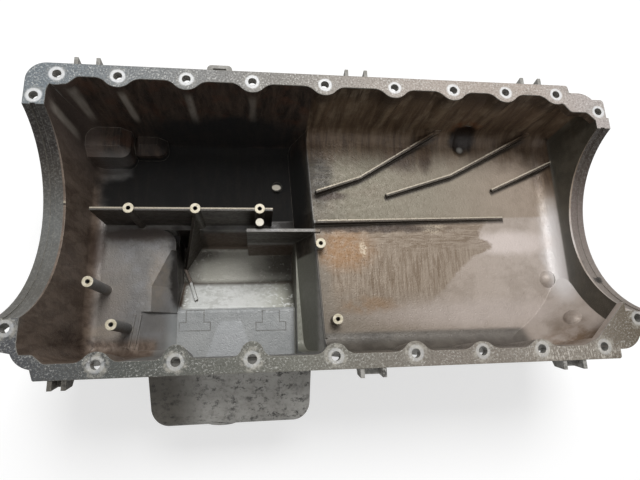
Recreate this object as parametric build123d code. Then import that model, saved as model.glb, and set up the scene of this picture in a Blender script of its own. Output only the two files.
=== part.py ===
from build123d import *
import math
import os

# Cast aluminium engine oil pan: a gasket flange round a shallow tray and a deep sump.
# Frame: origin on the gasket face, midway between the middle pair of rail bolts.
# +X runs along the pan towards its shallow end, +Y across it, +Z out of the gasket face.
# All sizes are in millimetres.

EPS = 0.5      # overlap that makes joined volumes fuse
FAR = 400.0    # reach of cutting volumes past the casting

# ---------------------------------------------------------------- driving sizes
# gasket flange
FLANGE_THICK = 10.0
RAIL_OUTER_Y = 159.0
RAIL_INNER_Y = 144.5
LEFT_END_X = -310.0
RIGHT_END_X = 341.0
LEFT_INNER_X = -289.0
RIGHT_INNER_X = 324.0
CORNER_R = 20.0

# rail bolts: holes in pairs along both rails, and three that stand alone
BOLT_LINE_Y = 146.5
BOLT_HOLE_R = 4.5
MIDDLE_PITCH = 80.0
OUTER_PITCH = 70.0
END_PITCH = 64.0
TOP_LEFT_PITCH = 60.0
BOTTOM_RIGHT_PITCH = 70.0
TOP_TAB_REACH = 10.5
TOP_TAB_HALF_SPAN = 24.0
BOTTOM_TAB_REACH = (9.5, 13.5, 14.5, 10.5, 10.0, 7.5, 8.0, 8.0)
BOTTOM_TAB_HALF_SPAN = 20.5
RIDGE_DEPTH = 95.0
BOLT_POCKET_R = 6.5
BOLT_POCKET_HALF_SPAN = 16.0
BOLT_POCKET_FLOOR = 12.0

# flange outline past the last bolts
NOTCH_PAST_BOLT = 16.0
NOTCH_SLOPE = 3.0
LOWER_END_PAST_BOLT = 18.0
LOWER_START_BEFORE_BOLT = 52.0
LOWER_START_SLOPE = 5.0
LOWER_START_REACH = 16.0
LOWER_START_RISE = 1.0
LOWER_LUG_RISE = 6.0
# corner radii of the flange outline, clockwise from the upper notch to the lower left lug
OUTLINE_R = (3.0, 5.0, 4.0, 6.0, 4.0, 3.0, 2.0, 3.0, 8.0, 10.0)

# end bolts beside the crank seals: their distance past both edges of the saddle, +Y edge first
LEFT_BOLTS_X = -300.0
LEFT_BOLTS_PAST = (9.8, 8.8)
RIGHT_BOLTS_X = 329.0
RIGHT_BOLTS_PAST = (21.8, 7.8)
LUG_TOP_Y = 141.5
LUG_BOTTOM_Y = -137.0
WEB_LEFT_X = -270.0
WEB_LEFT_LOWER_Y = -136.0
WEB_BLEND = 5.0
WEB_UPPER_STEP = 10.5
WEB_UPPER_RUN = 8.0
WEB_LOWER_Y = -92.0
WEB_LOWER_START = 22.0
WEB_LOWER_REACH = 7.0
WEB_TAB_STEP = 1.0
WEB_STEP_R = 3.0
WEB_R = 8.0
WEB_SMALL_R = 6.0
WEB_WIDE_R = 10.0

# crank seal saddles in the end walls
SADDLE_R = 115.5
SADDLE_Z = 43.0
LEFT_SADDLE_Y = 4.0
RIGHT_SADDLE_Y = -3.0
COLLAR_THICK = 13.0
SEAL_GROOVE_INSET = 10.0
SEAL_GROOVE_WIDTH = 5.0
SEAL_GROOVE_DEPTH = 1.0

# walls and floors
WALL = 5.0
END_WALL = 6.0
DRAFT = 2.0
TRAY_DEPTH = 103.0
TRAY_FILLET = 20.0
RAMP_LENGTH = 150.0
RAMP_AXIS_Y = 5.0
SHELF_DEPTH = 155.0
SHELF_FILLET = 14.0
PLAN_CORNER_R = 24.0
SUMP_LIP_X = -2.0
LIP_SKEW = 3.5
LIP_START_Y = -20.0
LIP_END_Y = -126.0
LIP_HEIGHT = 3.0
LIP_THICK = 2.0
SUMP_LEFT_X = -180.0
SUMP_RIGHT_X = -24.0
TROUGH_DEPTH = 230.0
TROUGH_BACK_Y = 21.0
TROUGH_FRONT_Y = -38.0
TROUGH_BACK_LEAN = 6.0
TROUGH_BACK_R = 8.0
TROUGH_FRONT_R = 12.0
EDGE_SLOPE_START_Y = -6.0
EDGE_SLOPE_FULL_Y = -52.0
EDGE_SLOPE_START = 6.0
EDGE_SLOPE_FULL = 28.0
PLATEAU_CORNER_R = 20.0
PLATEAU_CORNER_DEPTH = 30.0
CHUTE_LENGTH = 40.0
CHUTE_CLEARANCE = 12.0

# inward bulges of the upper left corner: (left end, right end, inner face, top)
BULGES = ((-FAR, -234.0, 105.0, -105.0), (-240.0, -194.0, 118.0, -128.0))
BULGE_R = 12.0
BULGE_CHAMFER = 11.0

# shallow dent where the tray floor meets the upper wall
DENT_X = 200.0
DENT_DEPTH = 2.8

# kick-out: the part of the sump that reaches out beyond the rail
KICK_DEPTH = 185.0
KICK_REACH_Y = -209.0
KICK_STEP_Y = -80.0
LEDGE_START_Z = -48.0
LEDGE_END_Z = -88.0
KICK_CORNER_R = 20.0
KICK_FACE_LEAN = 4.0
KICK_EDGE_R = 14.0
LEDGE_THROAT = 14.0
LEDGE_THROAT_RISE = 10.0
PORT_X = -115.0
PORT_R = 14.0
PORT_FACE_R = 22.0
PORT_TILT = 25.0
PORT_INSET = 4.0
PORT_DROP = 16.0
PORT_BOSS_DEPTH = 20.0
PORT_BORE_DEPTH = 40.0

# standoffs for the windage tray
POST_TOP_Z = -85.0
POST_R = 6.2
POST_HOLE_R = 2.5
POST_HOLE_DEPTH = 16.0
SPINE_Y = 29.0
SPINE_POSTS_X = (-224.0, -148.0, -72.0)
SHELF_POSTS = ((-262.0, -57.0), (-234.0, -105.0))
TRAY_POSTS = ((1.0, -14.0), (18.0, -105.0))

# baffles and ribs
RIB_THICK = 4.0
SPINE_LEFT_X = -268.0
SPINE_RIGHT_X = -56.0
SPINE_DROP = 3.0
FIN_LEFT_X = -88.0
FIN_Y = 4.0
FIN_LEAN = 2.0
FIN_TOP_Z = -100.0
PAD_X = -72.0
PAD_Y = 14.0
PAD_TOP_Z = -92.0
PAD_R = 5.0
WEB_FOOT = (-177.0, -19.0)
KERB_END = (-157.0, -67.0)
KERB_HEIGHT = 8.0
# plan runs of the tray ribs: start, end, height at the start, height at the end
TRAY_RIBS = (
    ((-2.0, 54.0), (56.0, 75.0), 12.0, 8.0),
    ((56.0, 75.0), (168.0, 142.0), 8.0, 15.0),
    ((90.0, 52.0), (179.0, 80.0), 7.0, 8.0),
    ((179.0, 80.0), (296.0, 141.0), 8.0, 15.0),
    ((236.0, 61.0), (322.0, 99.0), 5.0, 15.0),
    ((-6.0, 15.0), (247.0, 23.0), 12.0, 3.0),
)
# low double ridge at the foot of the shelf: start, end
SHELF_RIDGES = (((-219.0, -88.0), (-225.0, -130.0)), ((-226.0, -88.0), (-232.0, -130.0)))
SHELF_RIDGE_HEIGHT = 2.5
SHELF_RIDGE_THICK = 3.0
SHELF_BOSS = (-48.0, 81.0)
SHELF_BOSS_R = 7.0
SHELF_BOSS_HEIGHT = 5.0
# two low domes at the tray's end, each the cap of a ball: centre of the ball
DOMES = ((300.0, -59.0, -111.0), (310.0, -116.0, -77.0))
DOME_R = 14.0

# brackets outside both rails
BRACKET_X = (-252.0, 36.5, 249.0)
BRACKET_REACH = 9.0
BRACKET_GAP = 18.0
NARROW_GAP = 8.0
BRACKET_HEIGHT = 16.0
BRACKET_DROP = 1.5
BRACKET_GUSSET = 12.0
BRACKET_LEAN = 3.0
LOOP_X = -115.5
LOOP_WIDTH = 27.0
LOOP_REACH = 8.5
LOOP_TOP_Z = -4.0
LOOP_HEIGHT = 18.0
LOOP_CORNER_R = 5.0
LOOP_SLOT_WIDTH = 14.0
LOOP_SLOT_DEPTH = 3.5
LOOP_SLOT_GAP = 1.0

LEDGE_DEPTH = -LEDGE_START_Z    # depth of the ledge over the kick-out below the gasket face

# ---------------------------------------------------------------- bolt stations
LEFT_STATIONS = [-MIDDLE_PITCH, -MIDDLE_PITCH - OUTER_PITCH, -MIDDLE_PITCH - 2 * OUTER_PITCH]
RIGHT_STATIONS = [MIDDLE_PITCH, MIDDLE_PITCH + OUTER_PITCH, MIDDLE_PITCH + OUTER_PITCH + END_PITCH]
PAIRED_X = sorted(LEFT_STATIONS + [0.0] + RIGHT_STATIONS)
TOP_BOLTS_X = [PAIRED_X[0] - TOP_LEFT_PITCH] + PAIRED_X + [PAIRED_X[-1] + END_PITCH]
BOTTOM_BOLTS_X = PAIRED_X + [PAIRED_X[-1] + BOTTOM_RIGHT_PITCH]


def rail_bolts():
    """Every rail bolt as (x, side, reach of its tab); side is +1 on the +Y rail and -1 on the other."""
    upper = [(x, 1, TOP_TAB_REACH) for x in TOP_BOLTS_X]
    lower = [(x, -1, reach) for x, reach in zip(BOTTOM_BOLTS_X, BOTTOM_TAB_REACH)]
    return upper + lower


def over_kick_out(x, side):
    """True for a bolt that stands above the kick-out."""
    return side < 0 and SUMP_LEFT_X - TOP_TAB_HALF_SPAN < x < SUMP_RIGHT_X


def end_bolts():
    """Every bolt of the four end lugs as (x, y)."""
    edge = math.sqrt(SADDLE_R * SADDLE_R - SADDLE_Z * SADDLE_Z)
    ends = [
        (LEFT_BOLTS_X, LEFT_SADDLE_Y, LEFT_BOLTS_PAST),
        (RIGHT_BOLTS_X, RIGHT_SADDLE_Y, RIGHT_BOLTS_PAST),
    ]
    bolts = []
    for x, middle, (above, below) in ends:
        bolts.append((x, middle + edge + above))
        bolts.append((x, middle - edge - below))
    return bolts


# ---------------------------------------------------------------- helpers
def block(x0, x1, y0, y1, z0, z1):
    """A box between two corners."""
    size = Box(x1 - x0, y1 - y0, z1 - z0)
    return Pos((x0 + x1) / 2, (y0 + y1) / 2, (z0 + z1) / 2) * size


def along_x(x0, x1, face):
    """Extrudes a face drawn in (y, z) from x0 to x1."""
    plane = Plane(origin=(x0, 0, 0), x_dir=(0, 1, 0), z_dir=(1, 0, 0))
    return extrude(plane * face, amount=x1 - x0)


def rod_x(radius, x0, x1, y, z):
    """A cylinder along X."""
    plane = Plane(origin=((x0 + x1) / 2, y, z), x_dir=(0, 1, 0), z_dir=(1, 0, 0))
    return plane * Cylinder(radius, abs(x1 - x0))


def outline(points, radii):
    """A closed face with a radius at each corner."""
    return make_face(FilletPolyline(*points, radius=radii, close=True))


def plate(start, end, top_start, top_end, base, thick):
    """An upright plate from start to end in plan, with a straight top edge."""
    run = Vector(end[0] - start[0], end[1] - start[1], 0)
    side = Vector(0, 0, 1).cross(run).normalized()
    plane = Plane(origin=(start[0], start[1], 0), x_dir=run, z_dir=side * -1)
    length = run.length
    corners = [(0, base), (length, base), (length, top_end), (0, top_start)]
    face = make_face(Polyline(*corners, close=True))
    return extrude(plane * face, amount=thick / 2, both=True)


def drafted_tub(x0, x1, half_width, depth, corner_r, floor_r):
    """A tub that narrows as it goes down from the gasket face, with a rounded floor."""
    plan = Pos((x0 + x1) / 2, 0) * RectangleRounded(x1 - x0, 2 * half_width, corner_r)
    tub = extrude(plan, amount=-depth, taper=DRAFT)
    floor_edges = tub.edges().group_by(Axis.Z)[0]
    return fillet(floor_edges, floor_r)


# ---------------------------------------------------------------- flange
def flange_plate():
    """The gasket flange's outer outline, before its opening is cut."""
    notch_x = TOP_BOLTS_X[-1] + NOTCH_PAST_BOLT
    lower_right = BOTTOM_BOLTS_X[-1] + LOWER_END_PAST_BOLT
    lower_left = PAIRED_X[0] - LOWER_START_BEFORE_BOLT
    points = [
        (LEFT_END_X, RAIL_OUTER_Y),
        (notch_x, RAIL_OUTER_Y),
        (notch_x + NOTCH_SLOPE, LUG_TOP_Y),
        (RIGHT_END_X - NOTCH_SLOPE, LUG_TOP_Y),
        (RIGHT_END_X, LUG_BOTTOM_Y),
        (lower_right, LUG_BOTTOM_Y),
        (lower_right, -RAIL_OUTER_Y),
        (lower_left, -RAIL_OUTER_Y),
        (lower_left - LOWER_START_SLOPE, -RAIL_INNER_Y),
        (lower_left - LOWER_START_REACH, LUG_BOTTOM_Y + LOWER_START_RISE),
        (LEFT_END_X, LUG_BOTTOM_Y + LOWER_LUG_RISE),
    ]
    radii = [CORNER_R] + list(OUTLINE_R)
    return extrude(outline(points, radii), amount=-FLANGE_THICK)


def tab_face(half, reach):
    """A bulge towards -Y from the line y = 0: a round tip with a hollow blend on each side."""
    chord = math.hypot(half / 2, reach / 2)
    radius = chord * chord / reach
    blend_in = RadiusArc((-half, 0), (-half / 2, -reach / 2), radius)
    into_tip = RadiusArc((-half / 2, -reach / 2), (0, -reach), -radius)
    out_of_tip = RadiusArc((0, -reach), (half / 2, -reach / 2), -radius)
    blend_out = RadiusArc((half / 2, -reach / 2), (half, 0), radius)
    back = Polyline((half, 0), (half, WALL), (-half, WALL), (-half, 0))
    return make_face([blend_in, into_tip, out_of_tip, blend_out, back])


def lean(reach):
    """The angle at which a bulge of that reach runs into the drafted wall at the ridge's depth."""
    return math.atan(reach / RIDGE_DEPTH - math.tan(math.radians(DRAFT)))


def ridge(x, side, reach):
    """The tab round a bolt hole and the wall's bulge below it, which leans back into the wall."""
    half = TOP_TAB_HALF_SPAN if side > 0 else BOTTOM_TAB_HALF_SPAN
    depth = LEDGE_DEPTH if over_kick_out(x, side) else RIDGE_DEPTH
    angle = lean(reach)
    normal = (0, -math.sin(angle), math.cos(angle))
    plane = Plane(origin=(x, RAIL_INNER_Y, 0), x_dir=(1, 0, 0), z_dir=normal)
    solid = extrude(plane.offset(WALL) * tab_face(half, reach), amount=-depth - WALL)
    return solid if side > 0 else mirror(solid, about=Plane.XZ)


def bolt_pocket(x, side, reach):
    """The room for a bolt's head under the flange, open to the outside; it leans with its ridge."""
    depth = LEDGE_DEPTH - BOLT_POCKET_FLOOR if over_kick_out(x, side) else RIDGE_DEPTH
    angle = lean(reach)
    normal = (0, -math.sin(angle), math.cos(angle))
    wall_y = RAIL_INNER_Y + WALL
    plane = Plane(origin=(x, wall_y, 0), x_dir=(1, 0, 0), z_dir=normal)
    inner = BOLT_LINE_Y - BOLT_POCKET_R - wall_y
    section = Polyline(
        (-BOLT_POCKET_HALF_SPAN, WALL),
        (-BOLT_POCKET_HALF_SPAN, 0),
        (-BOLT_POCKET_R, inner),
        (BOLT_POCKET_R, inner),
        (BOLT_POCKET_HALF_SPAN, 0),
        (BOLT_POCKET_HALF_SPAN, WALL),
        close=True,
    )
    solid = extrude(plane * make_face(section), amount=-depth)
    solid = solid & block(-FAR, FAR, 0, FAR, -FAR, -FLANGE_THICK)
    return solid if side > 0 else mirror(solid, about=Plane.XZ)


def corner_webs():
    """The flange's wide corners, which carry the end bolts."""
    tab_y = RAIL_INNER_Y - TOP_TAB_REACH + WEB_TAB_STEP
    left = LEFT_INNER_X - EPS
    right = RIGHT_INNER_X + EPS
    last_top = TOP_BOLTS_X[-1]
    last_bottom = BOTTOM_BOLTS_X[-1]
    outer = RAIL_INNER_Y + EPS
    upper_left = [
        (left, outer, 0),
        (left, tab_y, 0),
        (WEB_LEFT_X, tab_y, WEB_R),
        (WEB_LEFT_X + 2 * WEB_BLEND, RAIL_INNER_Y, WEB_R),
        (WEB_LEFT_X + 3 * WEB_BLEND, outer, 0),
    ]
    lower_left = [
        (left, -outer, 0),
        (left, WEB_LEFT_LOWER_Y, 0),
        (WEB_LEFT_X - WEB_BLEND, WEB_LEFT_LOWER_Y, WEB_SMALL_R),
        (WEB_LEFT_X + WEB_BLEND, -RAIL_INNER_Y, WEB_SMALL_R),
        (WEB_LEFT_X + 2 * WEB_BLEND, -outer, 0),
    ]
    upper_right = [
        (last_top, outer, 0),
        (last_top, tab_y, 0),
        (last_top + WEB_UPPER_RUN, tab_y, WEB_STEP_R),
        (last_top + 2 * WEB_UPPER_RUN, tab_y - WEB_UPPER_STEP, WEB_SMALL_R),
        (right - 2 * WEB_BLEND, tab_y - WEB_UPPER_STEP, WEB_R),
        (right, tab_y - 2 * WEB_UPPER_STEP, 0),
        (right, outer, 0),
    ]
    lower_right = [
        (last_bottom - WEB_LOWER_START, -outer, 0),
        (last_bottom - WEB_LOWER_START, -RAIL_INNER_Y, 0),
        (last_bottom - WEB_BLEND, -RAIL_INNER_Y + WEB_LOWER_REACH, WEB_WIDE_R),
        (right, WEB_LOWER_Y, 0),
        (right, -outer, 0),
    ]
    webs = []
    for corners in (upper_left, lower_left, upper_right, lower_right):
        points = [(x, y) for x, y, r in corners]
        radii = [r for x, y, r in corners]
        webs.append(extrude(outline(points, radii), amount=-FLANGE_THICK))
    return webs


# ---------------------------------------------------------------- sump profile
def sump_profile(grow):
    """The sump's section in (y, z): kick-out, step and trough, grown outwards by grow."""
    slope = math.atan2(TROUGH_DEPTH - KICK_DEPTH, TROUGH_FRONT_Y - KICK_STEP_Y)
    side_shift = grow * math.tan(slope / 2)
    corners = [
        (-RAIL_INNER_Y + LEDGE_THROAT, LEDGE_START_Z + LEDGE_THROAT_RISE + grow, 0),
        (-RAIL_INNER_Y - grow, LEDGE_START_Z - WALL + grow, 0),
        (KICK_REACH_Y - grow, LEDGE_END_Z - WALL + grow, KICK_EDGE_R),
        (KICK_REACH_Y - grow + KICK_FACE_LEAN, -KICK_DEPTH - grow, KICK_EDGE_R + grow),
        (KICK_STEP_Y - side_shift, -KICK_DEPTH - grow, TROUGH_FRONT_R),
        (TROUGH_FRONT_Y - side_shift, -TROUGH_DEPTH - grow, TROUGH_FRONT_R),
        (TROUGH_BACK_Y - TROUGH_BACK_LEAN + grow, -TROUGH_DEPTH - grow, TROUGH_BACK_R + grow),
        (TROUGH_BACK_Y + grow, -SHELF_DEPTH - grow, 0),
        (TROUGH_BACK_Y + grow, -TRAY_DEPTH - grow, 0),
    ]
    points = [(y, z) for y, z, r in corners]
    radii = [r for y, z, r in corners]
    return outline(points, radii)


def sump_body(grow):
    """The sump as a solid, grown outwards by grow."""
    x0 = SUMP_LEFT_X - grow
    x1 = SUMP_RIGHT_X + grow
    length = along_x(x0, x1, sump_profile(grow))
    y0 = KICK_REACH_Y - grow
    y1 = TROUGH_BACK_Y + grow + KICK_CORNER_R
    plan = Pos((x0 + x1) / 2, (y0 + y1) / 2) * RectangleRounded(x1 - x0, y1 - y0, KICK_CORNER_R)
    return length & extrude(plan, amount=-TROUGH_DEPTH - FLANGE_THICK)


def sump_side(grow):
    """Keeps a tub to the left of the sloping wall between sump and tray."""
    lip_z = -TRAY_DEPTH + WALL - grow
    profile = Polyline(
        (grow, FAR),
        (grow, lip_z),
        (SUMP_RIGHT_X - SUMP_LIP_X + grow, -SHELF_DEPTH - grow),
        (SUMP_RIGHT_X - SUMP_LIP_X + grow, -FAR),
        (-FAR, -FAR),
        (-FAR, FAR),
        close=True,
    )
    solid = extrude(Plane.XZ * make_face(profile), amount=FAR, both=True)
    return Pos(SUMP_LIP_X, 0, 0) * Rot(0, 0, LIP_SKEW) * solid


def wedge_section(y, width, drop, grow):
    """A triangle in (x, z) at y, below the shelf's edge above the sump."""
    top_z = -SHELF_DEPTH + WALL
    corner_x = SUMP_LEFT_X + EPS
    plane = Plane(origin=(0, y, 0), x_dir=(1, 0, 0), z_dir=(0, -1, 0))
    points = [
        (SUMP_LEFT_X - width - grow, -SHELF_DEPTH - grow),
        (corner_x, -SHELF_DEPTH - drop - grow),
        (corner_x, top_z),
        (SUMP_LEFT_X - width - grow, top_z),
    ]
    return plane * make_face(Polyline(*points, close=True))


def chute(grow):
    """The shelf's edge falls away into the sump: a slope that widens towards the kick-out."""
    full_drop = KICK_DEPTH - SHELF_DEPTH
    start = wedge_section(EDGE_SLOPE_START_Y + grow, EDGE_SLOPE_START, EDGE_SLOPE_START, grow)
    full = wedge_section(EDGE_SLOPE_FULL_Y, EDGE_SLOPE_FULL, EDGE_SLOPE_FULL, grow)
    middle_y = KICK_STEP_Y - WALL + grow
    far_y = -RAIL_INNER_Y + CHUTE_CLEARANCE - grow
    upper = loft([start, full], ruled=True)
    middle = extrude(full, amount=EDGE_SLOPE_FULL_Y - middle_y)
    lower = extrude(wedge_section(middle_y, CHUTE_LENGTH, full_drop, grow), amount=middle_y - far_y)
    return upper + middle + lower


def plateau_corner(grow):
    """The shelf's corner beside the spine is round, so the sump reaches a little further there."""
    r = PLATEAU_CORNER_R
    x0 = SUMP_LEFT_X - r
    y0 = TROUGH_BACK_Y - r
    low = -SHELF_DEPTH - PLATEAU_CORNER_DEPTH - grow
    corner = block(x0, SUMP_LEFT_X + EPS, y0, TROUGH_BACK_Y + grow, low, -SHELF_DEPTH + EPS)
    post_r = r - grow
    return corner - Pos(x0, y0, low) * Cylinder(post_r, 2 * FAR)


def bulge(left, right, face_y, top, shrink):
    """A rounded block that pushes the upper wall inwards; shrunk, it is the hollow behind that wall."""
    solid = block(left + shrink, right - shrink, face_y + shrink, FAR, -FAR, top - shrink)
    solid = fillet(solid.edges().filter_by(Axis.Z).group_by(Axis.Y)[0], BULGE_R - shrink)
    return chamfer(solid.faces().sort_by(Axis.Z)[-1].edges().group_by(Axis.Y)[0], BULGE_CHAMFER - shrink)


# ---------------------------------------------------------------- outside and inside volumes
def outside():
    """Everything the casting fills before it is hollowed."""
    x0 = LEFT_INNER_X - END_WALL
    x1 = RIGHT_INNER_X + END_WALL
    tray = drafted_tub(x0, x1, RAIL_INNER_Y + WALL, TRAY_DEPTH + WALL, PLAN_CORNER_R, TRAY_FILLET + WALL)
    shelf = drafted_tub(x0, x1, RAIL_INNER_Y + WALL, SHELF_DEPTH + WALL, PLAN_CORNER_R, SHELF_FILLET + WALL)
    body = tray + (shelf & sump_side(WALL)) + sump_body(WALL) + chute(WALL) + plateau_corner(WALL)
    for left, right, face_y, top in BULGES:
        body -= bulge(left, right, face_y, top, WALL)
    body += flange_plate()
    collar_r = SADDLE_R + COLLAR_THICK
    below = block(-FAR, FAR, -FAR, FAR, -FAR, 0)
    body += rod_x(collar_r, LEFT_END_X, LEFT_INNER_X - EPS, LEFT_SADDLE_Y, SADDLE_Z) & below
    body += rod_x(collar_r, RIGHT_INNER_X + EPS, RIGHT_END_X, RIGHT_SADDLE_Y, SADDLE_Z) & below
    return body


def end_ramp():
    """The tray floor curves up towards the lower right corner, round a ball on the crank line."""
    x0 = RIGHT_INNER_X - RAMP_LENGTH
    ball_r = math.hypot(RAIL_INNER_Y + RAMP_AXIS_Y, TRAY_DEPTH + SADDLE_Z)
    solid = block(x0, RIGHT_INNER_X, -RAIL_INNER_Y - EPS, RAMP_AXIS_Y, -TRAY_DEPTH - EPS, -FLANGE_THICK)
    return solid - Pos(x0, RAMP_AXIS_Y, SADDLE_Z) * Sphere(ball_r)


def dent():
    """A ball that bites a shallow dent into the rounding between the tray floor and the upper wall."""
    wall_y = RAIL_INNER_Y - TRAY_DEPTH * math.tan(math.radians(DRAFT))
    return Pos(DENT_X, wall_y - TRAY_FILLET, -TRAY_DEPTH + TRAY_FILLET) * Sphere(TRAY_FILLET + DENT_DEPTH)


def inside():
    """The space that is cut out of the casting."""
    corner_r = PLAN_CORNER_R - WALL
    tray = drafted_tub(LEFT_INNER_X, RIGHT_INNER_X, RAIL_INNER_Y, TRAY_DEPTH, corner_r, TRAY_FILLET)
    shelf = drafted_tub(LEFT_INNER_X, RIGHT_INNER_X, RAIL_INNER_Y, SHELF_DEPTH, corner_r, SHELF_FILLET)
    space = tray + (shelf & sump_side(0)) + sump_body(0) + chute(0) + plateau_corner(0)
    for left, right, face_y, top in BULGES:
        space -= bulge(left, right, face_y, top, 0)
    space -= end_ramp()
    space += dent()
    for x, side, reach in rail_bolts():
        space -= ridge(x, side, reach)
    for web in corner_webs():
        space -= web
    return space


# ---------------------------------------------------------------- inner details
def post(x, y, floor_z):
    """A standoff down to just under the floor; its tapped hole is cut last."""
    height = POST_TOP_Z - floor_z + EPS
    return Pos(x, y, POST_TOP_Z - height / 2) * Cylinder(POST_R, height)


def posts():
    """All standoffs as (x, y, floor)."""
    spine = [(x, SPINE_Y, -SHELF_DEPTH) for x in SPINE_POSTS_X]
    shelf = [(x, y, -SHELF_DEPTH) for x, y in SHELF_POSTS]
    tray = [(x, y, -TRAY_DEPTH) for x, y in TRAY_POSTS]
    return spine + shelf + tray


def tray_ribs():
    """The oil-guiding ribs on the tray floor."""
    low = -TRAY_DEPTH
    return [plate(a, b, low + ta, low + tb, low - EPS, RIB_THICK) for a, b, ta, tb in TRAY_RIBS]


def slope_height(y):
    """The height of the slope between trough and kick-out at y."""
    share = (TROUGH_FRONT_Y - y) / (TROUGH_FRONT_Y - KICK_STEP_Y)
    return -TROUGH_DEPTH + share * (TROUGH_DEPTH - KICK_DEPTH)


def kerb_middle():
    """The point on the kerb where the trough's floor starts to slope."""
    share = (WEB_FOOT[1] - TROUGH_FRONT_Y) / (WEB_FOOT[1] - KERB_END[1])
    return (WEB_FOOT[0] + share * (KERB_END[0] - WEB_FOOT[0]), TROUGH_FRONT_Y)


def sump_ribs():
    """The spine, the fin, the slanting web and the kerb in the sump."""
    deep = -TROUGH_DEPTH - EPS
    shelf = -SHELF_DEPTH - EPS
    spine_top = POST_TOP_Z - SPINE_DROP
    half = RIB_THICK / 2
    spine = block(SPINE_LEFT_X, SPINE_RIGHT_X, SPINE_Y - half, SPINE_Y + half, shelf, spine_top)
    fin_face = Polyline(
        (FIN_Y - FIN_LEAN, deep),
        (FIN_Y, FIN_TOP_Z),
        (FIN_Y + RIB_THICK, FIN_TOP_Z),
        (TROUGH_BACK_Y, shelf),
        (TROUGH_BACK_Y, deep),
        close=True,
    )
    fin = along_x(FIN_LEFT_X, SUMP_LIP_X + WALL, make_face(fin_face))
    start = (SPINE_POSTS_X[1], SPINE_Y)
    mid = kerb_middle()
    web = plate(start, WEB_FOOT, spine_top, -TROUGH_DEPTH + KERB_HEIGHT, deep, RIB_THICK)
    kerb = plate(WEB_FOOT, mid, -TROUGH_DEPTH + KERB_HEIGHT, -TROUGH_DEPTH + KERB_HEIGHT, deep, RIB_THICK)
    end_floor = slope_height(KERB_END[1])
    rise = plate(mid, KERB_END, -TROUGH_DEPTH + KERB_HEIGHT, end_floor + KERB_HEIGHT, deep, RIB_THICK)
    pad_height = SHELF_DEPTH + PAD_TOP_Z + EPS
    pad = Pos(PAD_X, PAD_Y, PAD_TOP_Z - pad_height / 2) * Cylinder(PAD_R, pad_height)
    return [spine, fin, web, kerb, rise, pad]


def small_forms():
    """Domes, lips, ridges and a boss on the floors."""
    low = -TRAY_DEPTH
    forms = []
    for centre in DOMES:
        forms.append(Pos(*centre) * Sphere(DOME_R))
    half_skew = math.tan(math.radians(LIP_SKEW))
    lip = [(SUMP_LIP_X - y * half_skew, y) for y in (LIP_START_Y, LIP_END_Y)]
    forms.append(plate(lip[0], lip[1], low + LIP_HEIGHT, low + LIP_HEIGHT, low - EPS, LIP_THICK))
    shelf = -SHELF_DEPTH
    crest = shelf + SHELF_RIDGE_HEIGHT
    for start, end in SHELF_RIDGES:
        forms.append(plate(start, end, crest, crest, shelf - EPS, SHELF_RIDGE_THICK))
    boss = Cylinder(SHELF_BOSS_R, SHELF_BOSS_HEIGHT + EPS)
    forms.append(Pos(*SHELF_BOSS, shelf + (SHELF_BOSS_HEIGHT - EPS) / 2) * boss)
    return forms


# ---------------------------------------------------------------- outer details
def bracket(x, side, gap):
    """A pair of ribs with a shelf between them, under the rail's outer edge."""
    reach = RAIL_OUTER_Y + BRACKET_REACH
    wall_y = RAIL_INNER_Y
    top = -BRACKET_DROP
    foot = top - BRACKET_HEIGHT
    ribs = []
    for s in (-1, 1):
        x0 = x + s * (gap + RIB_THICK) / 2
        face = Polyline(
            (wall_y, foot - BRACKET_GUSSET),
            (reach - BRACKET_LEAN, foot),
            (reach, top),
            (wall_y, top),
            close=True,
        )
        ribs.append(along_x(x0 - RIB_THICK / 2, x0 + RIB_THICK / 2, make_face(face)))
    half = gap / 2 + EPS
    shelf = block(x - half, x + half, wall_y, reach - BRACKET_LEAN, foot, foot + RIB_THICK)
    whole = ribs[0] + ribs[1] + shelf
    return whole if side > 0 else mirror(whole, about=Plane.XZ)


def brackets():
    """The brackets of both rails; the lower left one is narrower."""
    upper = [bracket(x, 1, BRACKET_GAP) for x in BRACKET_X]
    lower = [bracket(x, -1, BRACKET_GAP) for x in BRACKET_X[1:]]
    return upper + lower + [bracket(BRACKET_X[0], -1, NARROW_GAP)]


def cable_loop():
    """A small loop on the +Y rail."""
    half = LOOP_WIDTH / 2
    outer = RAIL_OUTER_Y + LOOP_REACH
    inner = RAIL_OUTER_Y - EPS
    solid = block(LOOP_X - half, LOOP_X + half, inner, outer, LOOP_TOP_Z - LOOP_HEIGHT, LOOP_TOP_Z)
    solid = fillet(solid.edges().filter_by(Axis.Z).group_by(Axis.Y)[-1], LOOP_CORNER_R)
    half = LOOP_SLOT_WIDTH / 2
    slot_y = RAIL_OUTER_Y + LOOP_SLOT_GAP
    slot = block(LOOP_X - half, LOOP_X + half, slot_y, slot_y + LOOP_SLOT_DEPTH, -FAR, 0)
    return solid - slot


def port_plane():
    """The side port's face: it looks outwards and a little up from the kick-out's edge."""
    tilt = math.radians(PORT_TILT)
    normal = (0, -math.cos(tilt), math.sin(tilt))
    origin = (PORT_X, KICK_REACH_Y - WALL + PORT_INSET, LEDGE_END_Z - PORT_DROP)
    return Plane(origin=origin, x_dir=(1, 0, 0), z_dir=normal)


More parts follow.
